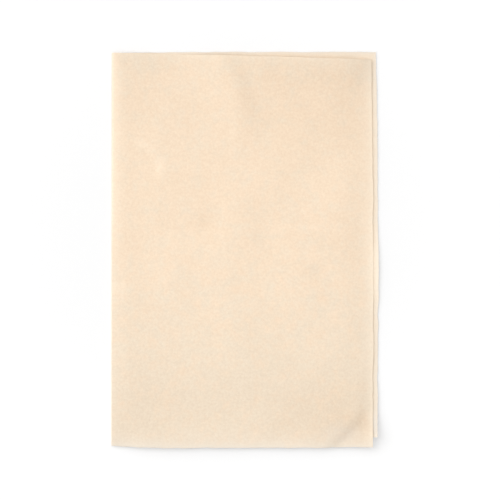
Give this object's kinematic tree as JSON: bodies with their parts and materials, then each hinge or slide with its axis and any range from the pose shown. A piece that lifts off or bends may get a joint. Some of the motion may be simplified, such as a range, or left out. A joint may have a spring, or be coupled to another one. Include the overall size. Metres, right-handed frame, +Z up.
{
  "type": "polishing cloth",
  "caption": "Cream napped cotton polishing cloth, folded once into two leaves, with raw cut edges and a creased corner that turns back.",
  "frame": {"origin": "middle of the folded cloth's footprint, on the surface it lies on", "axes": "+X from the fold towards the free edges, +Y along the fold towards the edge where the lower leaf shows, +Z up"},
  "size_m": [0.2036, 0.303, 0.0051],
  "materials": {
    "napped_cotton": "matte, soft raised nap"
  },
  "bodies": {
    "lower_half": {"lower_leaf": "napped_cotton", "fold_bend": "napped_cotton"},
    "upper_half": {"upper_leaf": "napped_cotton"},
    "corner": {"corner_flap": "napped_cotton"}
  },
  "joints": [
    {"name": "leaf_fold", "type": "hinge", "parent": "lower_half", "child": "upper_half", "pos_m": [-0.09959, 0, 0.0013], "axis": [0, -1, 0], "range_deg": [0, 179], "deforming": ["fold_bend"]},
    {"name": "corner_crease", "type": "hinge", "parent": "upper_half", "child": "corner", "pos_m": [0.08401, -0.13803, 0.0026], "axis": [-0.7191, -0.6949, 0], "range_deg": [0, 160]}
  ]
}
